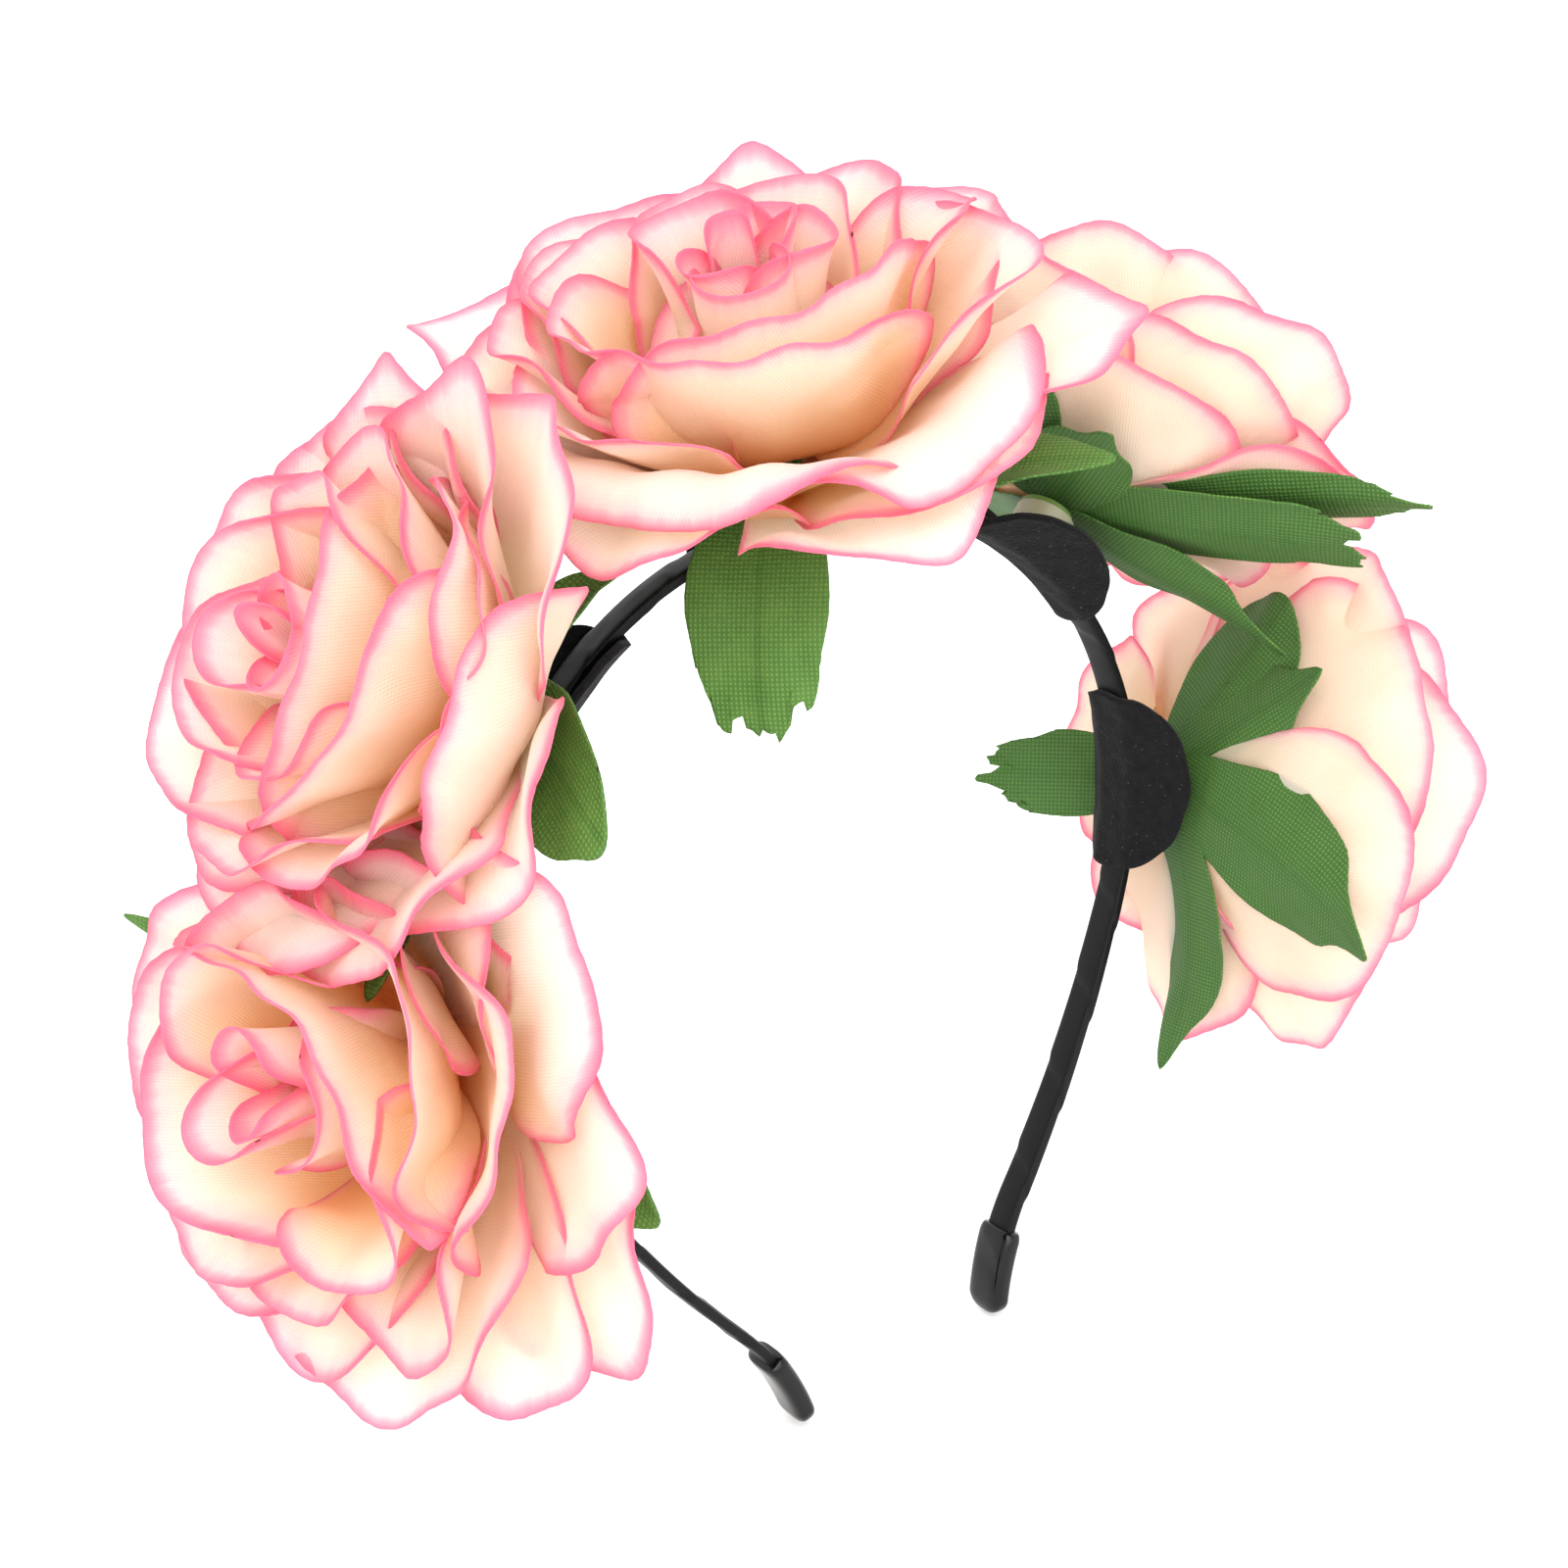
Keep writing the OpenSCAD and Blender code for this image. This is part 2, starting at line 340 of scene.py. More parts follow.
def srgb(hexcode: str) -> tuple[float, float, float, float]:
    """A linear colour from a six-figure screen colour."""
    parts = [int(hexcode[i : i + 2], 16) / 255 for i in (0, 2, 4)]
    return (*[p / 12.92 if p <= 0.04045 else ((p + 0.055) / 1.055) ** 2.4 for p in parts], 1.0)


@dataclass(frozen=True)
class DyedPetalCloth:
    """Fine ribbed cloth: a warm throat, a pale middle, a soft pink flush and a strong pink rim.

    Each colour is a screen colour in hexadecimal. rim_width: reach of the flush from the cut edge, in mm.
    strong_share: share of it that the strong dye takes; back_share: the dye's reach on the back over the front.
    ribs_per_mm and wefts_per_mm: weave ribs each way; lean: slant of the ribs; weave_shade: how much they show.
    glow: share of light that passes through.
    """

    throat: str = "FFCC7E"
    depth: str = "FFE4B4"
    middle: str = "FFF6EE"
    back_warm: str = "FBE0AE"
    back: str = "FAEFDF"
    flush: str = "FFCFDA"
    rim: str = "F98AA8"
    rim_width: float = 6.5
    strong_share: float = 0.38
    back_share: float = 0.85
    ribs_per_mm: float = 2.1
    wefts_per_mm: float = 1.47
    lean: float = 0.35
    weave_shade: float = 0.08
    glow: float = 0.6

    def build(self) -> bpy.types.Material:
        """Makes the material.

        Returns:
            A cloth that reads the flat map and the dye attribute.
        """
        n = Nodes("petal cloth")
        dye = n.add("Attribute", attribute_name="print")
        parts = n.add("SeparateColor", {0: dye.outputs["Color"]})
        edge, reach, front = parts.outputs[0], parts.outputs[1], parts.outputs[2]
        tone = dye.outputs["Alpha"]
        warm = n.add("Attribute", attribute_name="warmth").outputs["Fac"]
        flat = n.add("UVMap", uv_map="flat").outputs[0]
        cloud = n.noise(flat, 9.0)
        streak_place = n.add("Mapping", {"Vector": flat, "Scale": (60.0, 4.0, 1.0)}).outputs[0]
        streak = n.noise(streak_place, 1.0, 2.0)
        wobble = n.line(cloud, 0.16, -0.08)
        deeper = n.maths("SUBTRACT", n.maths("ADD", reach, wobble), n.maths("MULTIPLY", warm, 0.6))
        deep = n.ramp(deeper, 0.55, -0.2)
        throat = n.ramp(deeper, 0.15, -0.45)
        front_colour = n.mix(throat, n.mix(deep, srgb(self.middle), srgb(self.depth)), srgb(self.throat))
        back_colour = n.mix(n.ramp(deeper, 0.42, -0.3), srgb(self.back), srgb(self.back_warm))
        body = n.mix(front, back_colour, front_colour)
        # The rim dye wicks in unevenly along the threads: a wide soft flush and a narrow strong edge.
        wick = n.line(n.maths("ADD", cloud, streak), 0.5, 0.3)
        spread = n.maths("MULTIPLY", wick, n.maths("ADD", tone, 0.5))
        narrow = n.mix(front, (*[self.back_share] * 3, 1.0), (1.0, 1.0, 1.0, 1.0))
        wide = n.maths("MULTIPLY", n.maths("MULTIPLY", spread, narrow), self.rim_width / RIM_MM)
        kept = n.ramp(reach, 0.16, 0.45)
        blush = n.maths("SUBTRACT", 1.0, n.maths("DIVIDE", edge, wide), clamp=True)
        blush = n.maths("MULTIPLY", n.maths("POWER", blush, 1.5), kept)
        strong_reach = n.maths("MULTIPLY", wide, self.strong_share)
        strong = n.maths("SUBTRACT", 1.0, n.maths("DIVIDE", edge, strong_reach), clamp=True)
        strong = n.maths("MULTIPLY", strong, kept)
        tinted = n.mix(strong, n.mix(blush, body, srgb(self.flush)), srgb(self.rim))
        across = n.add("SeparateXYZ", {0: flat})
        slant = n.maths("ADD", across.outputs[0], n.maths("MULTIPLY", across.outputs[1], self.lean))
        rib = n.ribs(slant, self.ribs_per_mm * FLAT_MAP_MM)
        weft = n.ribs(across.outputs[1], self.wefts_per_mm * FLAT_MAP_MM)
        weave = n.maths("ADD", rib, n.maths("MULTIPLY", weft, 0.35))
        shade = n.line(weave, self.weave_shade, 0.9)
        colour = n.mix(1.0, tinted, n.add("CombineColor", {0: shade, 1: shade, 2: shade}).outputs[0], "MULTIPLY")
        n.settle(Roughness=0.72, Specular_IOR_Level=0.25, Sheen_Weight=0.15, Sheen_Roughness=0.5)
        height = n.maths("ADD", n.maths("MULTIPLY", weave, 0.5), n.maths("MULTIPLY", streak, 0.6))
        return n.cloth(colour, n.bump(height, 0.5, 0.00014), self.glow)


@dataclass(frozen=True)
class LeafCloth:
    """Coarse plain-weave green cloth, greyer on its back, with a faint dark middle vein."""

    face: str = "2F5A1C"
    light: str = "76A04C"
    back: str = "40622F"
    threads_per_mm: float = 1.4
    vein_strength: float = 0.25
    glow: float = 0.12

    def build(self) -> bpy.types.Material:
        """Makes the material."""
        n = Nodes("leaf cloth")
        dye = n.add("Attribute", attribute_name="print")
        parts = n.add("SeparateColor", {0: dye.outputs["Color"]})
        front, tone = parts.outputs[2], dye.outputs["Alpha"]
        flat = n.add("UVMap", uv_map="flat").outputs[0]
        across = n.add("SeparateXYZ", {0: flat})
        warp = n.ribs(across.outputs[0], self.threads_per_mm * FLAT_MAP_MM)
        weft = n.ribs(across.outputs[1], self.threads_per_mm * FLAT_MAP_MM)
        knots = n.maths("MULTIPLY", warp, weft)
        cloud = n.noise(flat, 12.0)
        ground = n.mix(n.maths("MULTIPLY", cloud, tone), srgb(self.face), srgb(self.light))
        dotted = n.mix(n.maths("MULTIPLY", knots, 0.6), ground, srgb(self.light))
        shadow = n.mix(cloud, srgb(self.back), srgb(self.face))
        under = n.mix(n.maths("MULTIPLY", knots, 0.45), shadow, srgb(self.light))
        vein = n.ramp(n.maths("ABSOLUTE", across.outputs[0]), 0.012, 0.0)
        veined = n.maths("MULTIPLY", vein, self.vein_strength)
        colour = n.mix(veined, n.mix(front, under, dotted), srgb(self.face))
        n.settle(Roughness=0.62, Specular_IOR_Level=0.3)
        normal = n.bump(n.maths("ADD", knots, n.maths("SUBTRACT", cloud, vein)), 0.6, 0.00022)
        return n.cloth(colour, normal, self.glow)


@dataclass(frozen=True)
class SatinRibbon:
    """Black satin: a fine rib across the tape, and a soft painted highlight: a lighter colour mixed in along the ribs.
    """

    colour: str = "060607"
    # Painted highlight: a lighter colour that the ribs mix into the black.
    painted_highlight: str = "121213"
    ribs_per_mm: float = 2.1

    def build(self) -> bpy.types.Material:
        """Makes the material."""
        n = Nodes("black satin ribbon")
        flat = n.add("UVMap", uv_map="flat").outputs[0]
        across = n.add("SeparateXYZ", {0: flat})
        rib = n.ribs(n.maths("ADD", across.outputs[0], across.outputs[1]), self.ribs_per_mm * FLAT_MAP_MM)
        cloud = n.noise(flat, 30.0)
        # Painted highlight: the ribs and the noise mix a lighter colour into the black base colour.
        shade = n.maths("MULTIPLY", n.maths("ADD", rib, cloud), 0.25)
        n.feed(n.shader.inputs["Base Color"], n.mix(shade, srgb(self.colour), srgb(self.painted_highlight)))
        n.feed(n.shader.inputs["Roughness"], n.maths("ADD", n.maths("MULTIPLY", cloud, 0.2), 0.34))
        n.settle(Specular_IOR_Level=0.16, Anisotropic=0.4)
        n.feed(n.shader.inputs["Normal"], n.bump(rib, 0.25, 0.00006))
        return n.material


@dataclass(frozen=True)
class Felt:
    """Matt black needled felt with pale lint."""

    colour: str = "080809"
    tufts: str = "1B1B1D"
    lint: str = "5C5C5E"

    def build(self) -> bpy.types.Material:
        """Makes the material."""
        n = Nodes("black felt")
        place = n.add("TexCoord").outputs["Object"]
        fibre = n.noise(place, 2600.0, 4.0)
        tuft = n.noise(place, 600.0, 3.0)
        lint = n.ramp(n.noise(place, 1900.0, 1.0), 0.7, 0.78)
        ground = n.mix(tuft, srgb(self.colour), srgb(self.tufts))
        n.feed(n.shader.inputs["Base Color"], n.mix(n.maths("MULTIPLY", lint, 0.4), ground, srgb(self.lint)))
        n.settle(Roughness=0.95, Specular_IOR_Level=0.1, Sheen_Weight=0.05)
        n.feed(n.shader.inputs["Normal"], n.bump(n.maths("ADD", fibre, tuft), 0.7, 0.0004))
        return n.material


@dataclass(frozen=True)
class Plain:
    """A moulded, dipped or rolled finish with a little mottle."""

    name: str
    colour: str
    second: str
    roughness: float
    metallic: float = 0.0
    gloss: float = 0.5
    mottle: float = 150.0

    def build(self) -> bpy.types.Material:
        """Makes the material."""
        n = Nodes(self.name)
        place = n.add("TexCoord").outputs["Object"]
        cloud = n.noise(place, self.mottle)
        n.feed(n.shader.inputs["Base Color"], n.mix(cloud, srgb(self.colour), srgb(self.second)))
        low = max(0.02, self.roughness - 0.06)
        n.feed(n.shader.inputs["Roughness"], n.maths("ADD", n.maths("MULTIPLY", cloud, 0.12), low))
        n.settle(Metallic=self.metallic, Specular_IOR_Level=self.gloss)
        n.feed(n.shader.inputs["Normal"], n.bump(cloud, 0.15, 0.0002))
        return n.material


class Wardrobe:
    """All the finishes, made once and shared."""

    def __init__(self) -> None:
        """Builds every finish."""
        self.finish: dict[Slot, bpy.types.Material] = {
            Slot.PETAL: DyedPetalCloth().build(),
            Slot.LEAF: LeafCloth().build(),
            Slot.RIBBON: SatinRibbon().build(),
            Slot.FELT: Felt().build(),
            Slot.RUBBER: Plain("dipped rubber", "030304", "060607", 0.1, gloss=0.3).build(),
            Slot.GLUE: Plain("hot glue", "8C8A6E", "A5A285", 0.35).build(),
            Slot.STEM: Plain("green stem", "5A7A33", "6F8C42", 0.5).build(),
            Slot.STEEL: Plain("spring steel", "8E9096", "A6A8AE", 0.35, metallic=1.0).build(),
        }

    def dress(self, piece: bpy.types.Object, slot: Slot) -> None:
        """Gives a new piece its finish."""
        piece.data.materials.append(self.finish[slot])

    def redress_node(self, node: str, slot: Slot) -> None:
        """Gives a carried-over node its finish."""
        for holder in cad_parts[node].material_slots:
            holder.material = self.finish[slot]


# ---------------------------------------------------------------- the headband's line


@dataclass(frozen=True)
class BandLine:
    """The band's middle line: arcs from the crown down to a tip, the same on both sides.

    The heading turns by length over radius along each arc, and the place is the running sum of the heading.
    """

    crown_z: float = 60.0
    lengths: tuple[float, ...] = (20, 100, 58, 24)
    radii: tuple[float, ...] = (79, 58.5, 230, -51)

    @property
    def tip(self) -> float:
        """Length from the crown to a tip."""
        return float(sum(self.lengths))

    def seat(self, number: int) -> float:
        """Arc length from the crown to a rose's seat."""
        return (number - 3) * SEAT_STEP

    def at(self, s: np.ndarray | float) -> tuple[np.ndarray, np.ndarray, np.ndarray]:
        """Place and outward normal at arc lengths s.

        Args:
            s: Lengths from the crown, negative on the left.

        Returns:
            Places as x and z, and the normals' angles in radians up from +X.
        """
        side = np.where(np.asarray(s, float) < 0, -1.0, 1.0)
        left = np.abs(np.asarray(s, float))
        x, z, a = np.zeros_like(left), np.full_like(left, self.crown_z), np.zeros_like(left)
        for i, (length, radius) in enumerate(zip(self.lengths, self.radii)):
            step = left if i == len(self.lengths) - 1 else np.minimum(left, length)
            b = a + step / radius
            x, z, a, left = x + radius * (np.sin(b) - np.sin(a)), z + radius * (np.cos(b) - np.cos(a)), b, left - step
        return side * x, z, math.pi / 2 - side * a

    def off(self, s: np.ndarray | float, height: np.ndarray | float, y: np.ndarray | float) -> np.ndarray:
        """Points at a height outside the middle line and at y across the band."""
        x, z, a = self.at(s)
        s, height, y = np.broadcast_arrays(s, height, y)
        return np.stack([x + height * np.cos(a), y, z + height * np.sin(a)], -1)


# ---------------------------------------------------------------- cloth blades


class Layer(Enum):
    """The layers of a rose, named as their nodes are."""

    OUTER = "outer_petals"
    MIDDLE = "middle_petals"
    INNER = "inner_petals"
    BUD = "bud"
    CALYX = "calyx"


@dataclass(frozen=True)
class Blade:
    """A petal or a leaf lobe: a flat cut outline, bent along its length and across its width.

    turn: way round the rose, in degrees; reach and top: radius and height of the tip in the rose's frame, before it
    curls. foot and lift: radius and height where it starts. width: cut width.
    bow: degrees that the middle line bends up from foot to tip. curl: degrees that the end rolls back, from the share
    curl_from of the length. cup: degrees that each side bends in up to the shoulder, a share of the half width; roll:
    degrees that it bends back beyond it; skew: how much more the left side rolls than the right.
    waist: width at the foot over the widest. point: height of a pointed tip. ruffle and waves: height and count of the
    edge's waves. sweep and swing: sideways drift and bow of the middle line. crease: depth of soft creases.
    jag: depth of a torn end. tone: how far the rim's dye runs; warm: how deep the throat's dye is.
    phase: where its waves start, drawn by the rose. thick: of the cloth. cells: grid points a side.
    """

    turn: float
    reach: float
    top: float
    width: float = 44.0
    layer: Layer = Layer.OUTER
    foot: float = 4.0
    lift: float = 10.0
    bow: float = 25.0
    curl: float = 50.0
    curl_from: float = 0.62
    cup: float = 25.0
    roll: float = 45.0
    skew: float = 0.0
    shoulder: float = 0.6
    waist: float = 0.5
    point: float = 0.0
    ruffle: float = 1.5
    waves: float = 3.0
    sweep: float = 0.0
    swing: float = 0.0
    crease: float = 0.4
    jag: float = 0.0
    tone: float = 0.5
    warm: float = 0.3
    phase: float = 0.0
    thick: float = 0.3
    cells: int = 46

    def middle_line(self) -> tuple[np.ndarray, np.ndarray, np.ndarray, np.ndarray, float]:
        """The middle line in the plane of radius and height.

        The heading is a start plus bow times the share of the length, less curl times a smooth step past curl_from.
        Without the curl, the line's end meets (reach, top): the start and the length follow from that.

        Returns:
            Shares of the length, radii, heights and headings along it, and the length in mm.
        """
        t = np.linspace(0, 1.25, 160)
        dt = np.diff(t, prepend=0)
        plain = self.bow * DEG * (t - 0.5)
        whole = t <= 1.0
        end = np.array([np.sum(np.cos(plain[whole]) * dt[whole]), np.sum(np.sin(plain[whole]) * dt[whole])])
        goal = np.array([self.reach - self.foot, self.top - self.lift])
        length = float(np.linalg.norm(goal) / np.linalg.norm(end))
        start = math.atan2(goal[1], goal[0]) - math.atan2(end[1], end[0])
        late = np.clip((t - self.curl_from) / (1 - self.curl_from), 0, 1.3)
        heading = start + plain - self.curl * DEG * late**1.6
        r = self.foot + np.cumsum(np.cos(heading) * dt) * length
        z = self.lift + np.cumsum(np.sin(heading) * dt) * length
        return t, r, z, heading, length

    def outline(self, length: float) -> tuple[np.ndarray, np.ndarray, np.ndarray, np.ndarray]:
        """The flat cut.

        A slow and a fine wave move the edge of a disc; its x is scaled by the width at that length, its y by the length.

        Args:
            length: The cut's length in mm.

        Returns:
            Flat x and y in mm, distance from the cut edge in mm, and the angle round the disc.
        """
        side = np.linspace(-1, 1, self.cells) * EDGE_INSET
        side = np.sign(side) * np.abs(side) ** 0.85
        dx, dy = disc_grid(side)
        angle = np.arctan2(dy, dx)
        radius = np.hypot(dx, dy)
        slow = 0.022 * np.sin(5 * angle + self.phase) + 0.016 * np.sin(8 * angle + 2.3 * self.phase)
        fray = 0.0018 * np.sin(53 * angle + 5 * self.phase) + 0.0014 * np.sin(37 * angle + self.phase)
        wave = 1 + slow + fray * radius**4
        dx, dy = dx * wave, dy * wave
        v = np.clip((dy + 1) / 2, 0, 1.05)
        x = dx * self.width / 2 * (self.waist + (1 - self.waist) * np.clip(v / 0.6, 0, 1) ** 0.9)
        y = v * length + self.point * np.clip((v - 0.6) / 0.4, 0, 1) ** 2 * np.exp(-((dx / 0.3) ** 2))
        torn = 0.5 + 0.3 * np.sin(9 * dx + self.phase) + 0.2 * np.sign(np.sin(15 * dx + 2 * self.phase))
        y = y - self.jag * torn * np.clip((v - 0.55) / 0.45, 0, 1) ** 0.6
        edge = np.clip(1 - radius, 0, 1) * min(self.width, length) / 2
        return x, y, edge, angle

    def surface(self) -> Patch:
        """The bent cloth in the rose's frame.

        Across, it follows an arc that bends in up to the shoulder and an arc that bends back beyond it. Waves along
        the rim and soft creases are added towards the inside.

        Returns:
            A closed patch.
        """
        t, line_r, line_z, line_h, length = self.middle_line()
        x, y, edge, angle = self.outline(length)
        v = np.clip(y / length, 0, 1.24)
        r, z, h = np.interp(v, t, line_r), np.interp(v, t, line_z), np.interp(v, t, line_h)
        half = self.width / 2
        knee = half * self.shoulder
        grown = np.clip(v * 1.7, 0, 1)
        kappa = np.maximum(self.cup * DEG * grown / knee, 1e-4)
        inner = np.minimum(np.abs(x), knee)
        extra = np.abs(x) - inner
        bend = kappa * inner
        lateral, inward = np.sin(bend) / kappa, (1 - np.cos(bend)) / kappa
        share = 1 + self.skew * np.sign(-x) * np.clip(np.abs(x) / half * 2, 0, 1)
        back = np.maximum(self.roll * DEG * grown * share / (half - knee), 1e-4)
        after = bend - back * extra
        lateral = (lateral + (np.sin(bend) - np.sin(after)) / back) * np.sign(x)
        inward = inward + (np.cos(after) - np.cos(bend)) / back
        rim = np.clip(1 - edge / (half * 0.55), 0, 1) ** 1.5 * np.clip(v * 1.5, 0, 1)
        wave = np.sin(self.waves * angle + self.phase) + 0.5 * np.sin(2.3 * self.waves * angle + 1.9 * self.phase)
        folds = np.sin(x * 0.5 + 1.7 * self.phase + 0.04 * y) * (0.4 + np.sin(y * 0.14 + self.phase) ** 2)
        inward = inward + self.ruffle * wave * rim + self.crease * folds * np.clip(1.3 * v, 0, 1)
        lateral = lateral + self.sweep * v * v + self.swing * np.sin(math.pi * v)
        pr, pz = r - np.sin(h) * inward, z + np.cos(h) * inward
        c, s = math.cos(self.turn * DEG), math.sin(self.turn * DEG)
        p = np.stack([pr * c - lateral * s, pr * s + lateral * c, pz], -1)
        ones = np.ones_like(v)
        print_ = np.stack([edge / RIM_MM, v, ones, ones * self.tone, ones * self.warm], -1)
        return cloth_shell(p, np.stack([x, y], -1), print_, self.thick)

    @property
    def area(self) -> float:
        """Flat area of the cut in square mm, by the shoelace sum round its border."""
        x, y, _, _ = self.outline(self.middle_line()[4])
        ring = border(self.cells, self.cells)
        xs, ys = x.ravel()[ring], y.ravel()[ring]
        return float(abs(np.sum(xs * np.roll(ys, -1) - ys * np.roll(xs, -1))) / 2)


# ---------------------------------------------------------------- the five arrangements


# How each layer's petals are cut and bent, unless a petal says otherwise.
HABITS = {
    Layer.OUTER: dict(lift=9.8, bow=22, curl=60, cup=22, roll=50),
    Layer.MIDDLE: dict(lift=12, bow=45, curl=45, cup=42, roll=42, warm=0.6),
    Layer.INNER: dict(lift=15, bow=50, curl=30, cup=62, roll=30, waist=0.65, ruffle=0.9, warm=0.7, cells=40),
    Layer.BUD: dict(
        lift=18, foot=3, bow=30, curl=25, cup=95, roll=20,
        waist=0.85, ruffle=0.5, warm=0.5, tone=0.8, crease=0.15, cells=36,
    ),
    Layer.CALYX: dict(
        lift=8.2, foot=1, bow=12, curl=10, cup=14, roll=8,
        waist=0.7, point=7, ruffle=0.5, crease=0.25, thick=0.35, cells=40,
    ),
}


def outer(turn: float, reach: float, top: float, width: float = 44.0, **more: float) -> Blade:
    """An outer petal: broad, open, with a rim that rolls back."""
    return Blade(turn, reach, top, width, Layer.OUTER, **{**HABITS[Layer.OUTER], **more})


def middle(turn: float, reach: float, top: float, width: float = 42.0, **more: float) -> Blade:
    """A middle petal: a standing cup."""
    return Blade(turn, reach, top, width, Layer.MIDDLE, **{**HABITS[Layer.MIDDLE], **more})


def inner(turn: float, reach: float, top: float, width: float = 36.0, **more: float) -> Blade:
    """An inner petal that closes on the bud."""
    return Blade(turn, reach, top, width, Layer.INNER, **{**HABITS[Layer.INNER], **more})


def core(turn: float, reach: float, top: float, width: float = 26.0, **more: float) -> Blade:
    """A bud petal, rolled tight."""
    return Blade(turn, reach, top, width, Layer.BUD, **{**HABITS[Layer.BUD], **more})


def leaf(turn: float, reach: float, top: float, width: float = 18.0, **more: float) -> Blade:
    """A lobe of the calyx star, pointed at its tip."""
    return Blade(turn, reach, top, width, Layer.CALYX, **{**HABITS[Layer.CALYX], **more})


def closed_heart() -> list[Blade]:
    """The inner petals and bud of a rose that faces away."""
    inners = [inner(255, 22, 47, 40)] + [inner(turn, 20, 46, 40) for turn in (10, 100, 180)]
    return inners + [core(turn, 9, 49, 30) for turn in (240, 0, 120)] + [core(60, 4, 49, 18)]


def rose_one() -> list[Blade]:
    """The lowest rose on the left, half open, with its cup turned down."""
    return [
        outer(312, 46, 31, 50, curl=50, roll=60, skew=0.4, tone=0.6, ruffle=2.4),
        outer(330, 34, 34, 40, curl=60, roll=30, cup=20),
        outer(245, 55, 20, 36, curl=15, cup=14, roll=20, point=2, ruffle=2.2),
        outer(266, 48, 25, 34, curl=20, cup=14, roll=30),
        outer(229, 53, 23, 36, curl=10, cup=30, roll=20),
        outer(205, 47, 30, 52, curl=5, cup=22, roll=10, ruffle=0.8),
        outer(183, 42, 32, 38, curl=10, cup=30, roll=20),
        outer(152, 38, 36, 42, curl=25, cup=30),
        outer(112, 37, 36, 44, curl=40),
        outer(82, 39, 36, 38, curl=60),
        outer(352, 34, 25, 42, curl=40, ruffle=1.0),
        middle(302, 25, 43, 56, cup=36, curl=50, skew=0.5, roll=60, warm=0.8),
        middle(283, 34, 36, 54, curl=40, roll=40, skew=0.4, cup=30),
        middle(342, 26, 37, 42, curl=60, tone=0.9, ruffle=1.0),
        middle(28, 24, 40, 44, curl=60, tone=0.8, ruffle=1.0),
        middle(92, 30, 41, 40, curl=40),
        middle(152, 31, 41, 38, curl=40),
        middle(222, 40, 34, 36, cup=60, curl=20),
        middle(190, 30, 38, 40, warm=0.9),
        inner(333, 13, 47, 66, cup=32, bow=30, curl=20, roll=20, warm=0.8),
        inner(128, 22, 46, 50, tone=0.9, curl=20, cup=50),
        inner(232, 28, 43, 38, cup=70, bow=40, warm=0.9),
        inner(50, 20, 46, 38, warm=0.9),
        core(140, 9, 48, 30, tone=1.0),
        core(265, 12, 46, 30, cup=60, tone=0.9),
        core(20, 8, 47, 26),
        core(200, 4, 47, 18),
        leaf(264, 40, 6, 17, point=0, waist=0.85, sweep=-8),
        leaf(335, 34, 18, 16),
        leaf(200, 38, 20, 18),
        leaf(128, 38, 20, 18),
        leaf(78, 43, 28, 11),
    ]


def rose_two() -> list[Blade]:
    """The upper rose on the left, turned three quarters to the front."""
    return [
        outer(264, 34, 37, 46, bow=75, curl=5, roll=40, cup=20, point=2, ruffle=3.4, waves=2, warm=0.0),
        middle(311, 28, 41, 40, bow=75, curl=5, roll=40, cup=30, ruffle=2.6, waves=2, warm=0.0),
        outer(324, 43, 33, 48, curl=15, cup=26, roll=30, point=6, tone=0.8),
        outer(340, 37, 38, 42, curl=15, cup=30, roll=30, point=7, tone=0.8),
        outer(10, 35, 38, 38, curl=30, cup=30, roll=30, point=5),
        outer(30, 33, 38, 42, curl=40),
        outer(62, 35, 36, 44, curl=50),
        outer(98, 37, 36, 44, curl=50),
        outer(136, 39, 36, 46, curl=50),
        outer(168, 42, 35, 50, curl=60, ruffle=1.2),
        outer(204, 41, 32, 50, curl=50, ruffle=1.2),
        outer(238, 40, 26, 42, curl=40),
        middle(240, 20, 45, 60, curl=30, cup=38, warm=0.8),
        middle(172, 30, 42, 48, curl=30),
        middle(212, 29, 40, 48, curl=50, warm=0.8, ruffle=1.0),
        middle(290, 30, 36, 50, curl=30, warm=0.9),
        middle(350, 26, 43, 42, curl=40, roll=30),
        middle(30, 31, 39, 38, curl=80, roll=40),
        middle(125, 34, 43, 46, curl=25),
        middle(75, 30, 43, 44),
        inner(278, 10, 47, 60, cup=34, bow=26, curl=12, roll=14, warm=0.8),
        inner(85, 23, 46, 50, curl=20),
        inner(125, 20, 47, 44, curl=25),
        inner(10, 20, 46, 36),
        inner(200, 17, 44, 36, warm=0.9),
        core(110, 11, 49, 36, tone=1.0, curl=15),
        core(230, 7, 48, 28),
        core(350, 6, 48, 26),
        core(60, 3, 48, 18),
        leaf(264, 37, 12, 19, bow=-6, point=0, waist=0.85, sweep=-8),
        leaf(348, 23, 1, 10, bow=-12),
        leaf(30, 38, 20, 18),
        leaf(110, 38, 20, 18),
        leaf(190, 38, 18, 18),
    ]


